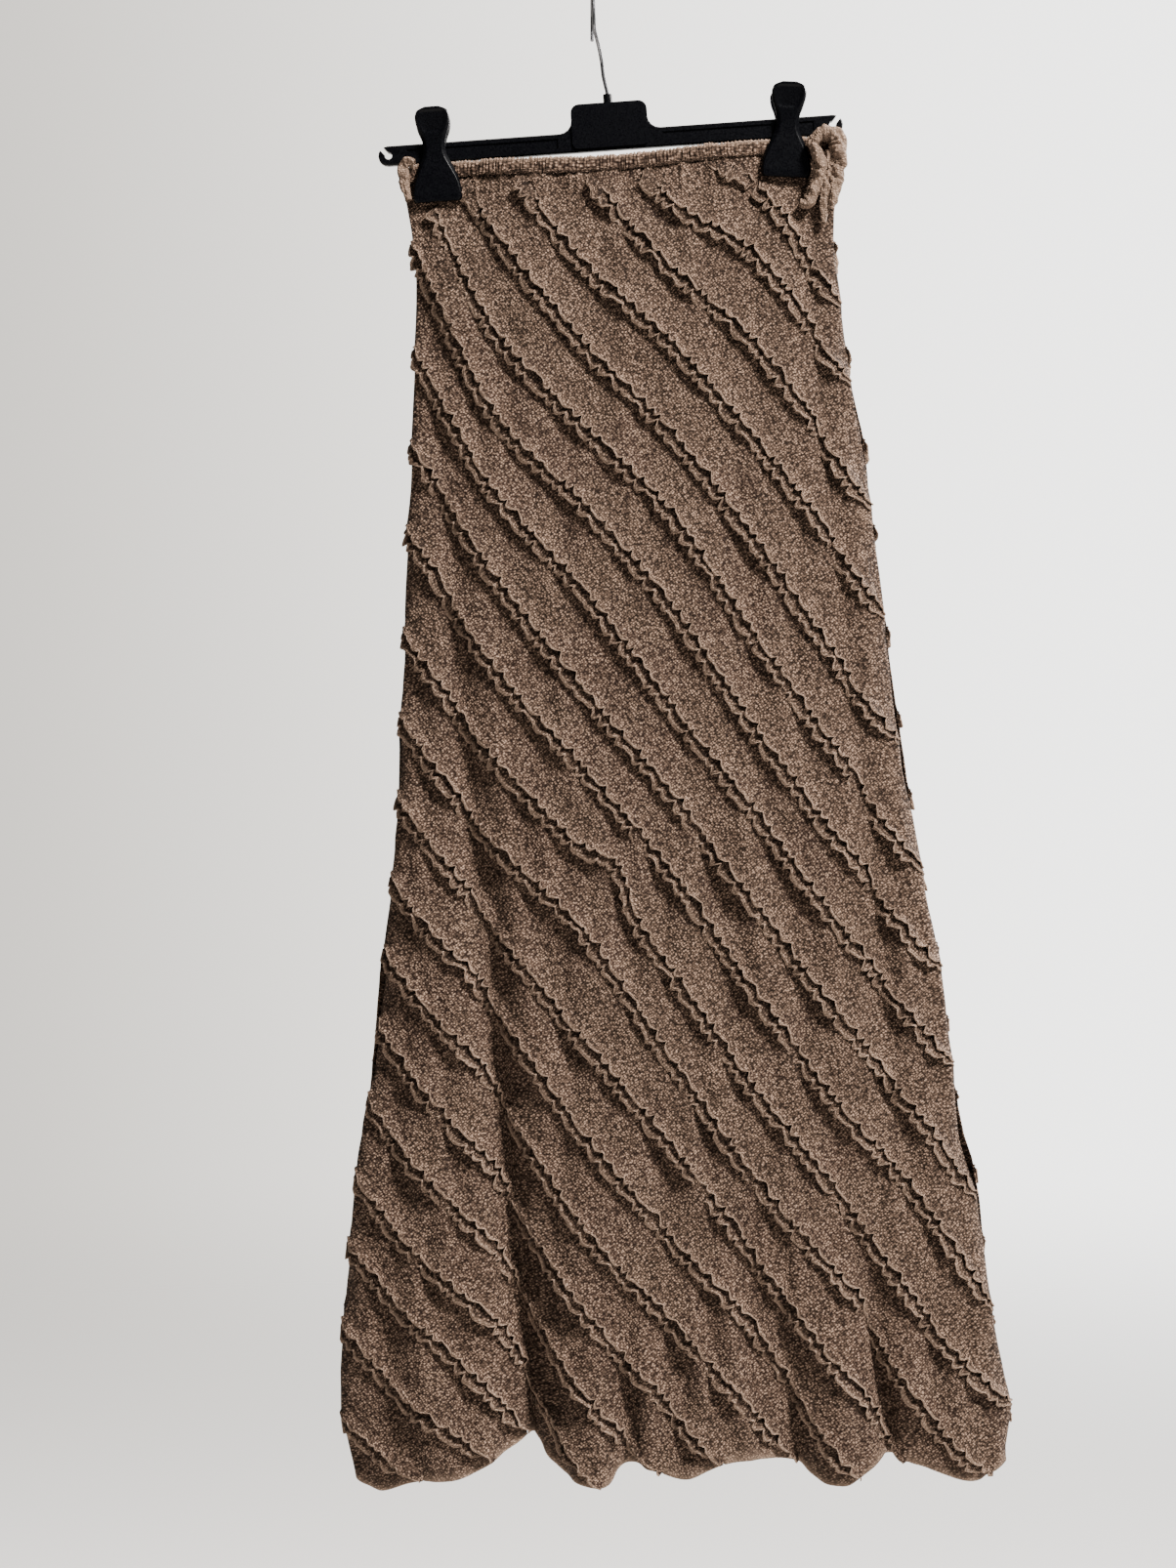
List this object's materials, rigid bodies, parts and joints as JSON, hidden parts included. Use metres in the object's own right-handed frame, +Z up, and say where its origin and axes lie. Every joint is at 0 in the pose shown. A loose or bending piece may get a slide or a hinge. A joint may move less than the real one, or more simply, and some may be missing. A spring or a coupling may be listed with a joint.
{
  "type": "maxi skirt on a clip hanger",
  "caption": "Flared maxi skirt of diagonal crinkled strips with frilled outside seams and an elastic waist, hung flat by two clips from a tilted bar hanger.",
  "frame": {"origin": "inner top of the hook's crown, where the hanger hangs on its rail or nail", "axes": "+Z up, -Y to the skirt's front as seen, +X to the right as seen from the front"},
  "size_m": [0.4814, 0.0741, 1.0826],
  "materials": {
    "crinkle_cloth": "taupe crinkled cloth, matt, with overlocked edges",
    "black_plastic": "black moulded plastic with a slight sheen",
    "bright_wire": "bright plated wire",
    "spring_steel": "plain steel strip"
  },
  "bodies": {
    "root": {"front_strip_01": "crinkle_cloth", "front_strip_02": "crinkle_cloth", "front_strip_03": "crinkle_cloth", "front_strip_04": "crinkle_cloth", "front_strip_05": "crinkle_cloth", "front_strip_06": "crinkle_cloth", "front_strip_07": "crinkle_cloth", "front_strip_08": "crinkle_cloth", "front_strip_09": "crinkle_cloth", "front_strip_10": "crinkle_cloth", "front_strip_11": "crinkle_cloth", "front_strip_12": "crinkle_cloth", "front_strip_13": "crinkle_cloth", "front_strip_14": "crinkle_cloth", "front_strip_15": "crinkle_cloth", "front_strip_16": "crinkle_cloth", "front_strip_17": "crinkle_cloth", "front_strip_18": "crinkle_cloth", "front_strip_19": "crinkle_cloth", "front_strip_20": "crinkle_cloth", "front_strip_21": "crinkle_cloth", "front_strip_22": "crinkle_cloth", "back_strip_01": "crinkle_cloth", "back_strip_02": "crinkle_cloth", "back_strip_03": "crinkle_cloth", "back_strip_04": "crinkle_cloth", "back_strip_05": "crinkle_cloth", "back_strip_06": "crinkle_cloth", "back_strip_07": "crinkle_cloth", "back_strip_08": "crinkle_cloth", "back_strip_09": "crinkle_cloth", "back_strip_10": "crinkle_cloth", "back_strip_11": "crinkle_cloth", "back_strip_12": "crinkle_cloth", "back_strip_13": "crinkle_cloth", "back_strip_14": "crinkle_cloth", "back_strip_15": "crinkle_cloth", "back_strip_16": "crinkle_cloth", "back_strip_17": "crinkle_cloth", "back_strip_18": "crinkle_cloth", "back_strip_19": "crinkle_cloth", "back_strip_20": "crinkle_cloth", "back_strip_21": "crinkle_cloth", "back_strip_22": "crinkle_cloth", "waistband_front": "crinkle_cloth", "waistband_back": "crinkle_cloth", "waist_roll": "crinkle_cloth", "hanger_bar": "black_plastic", "clip_left_front_jaw": "black_plastic", "clip_left_back_jaw": "black_plastic", "clip_right_front_jaw": "black_plastic", "clip_right_back_jaw": "black_plastic", "hanger_hook": "bright_wire", "clip_left_spring": "spring_steel", "clip_right_spring": "spring_steel"}
  },
  "joints": []
}
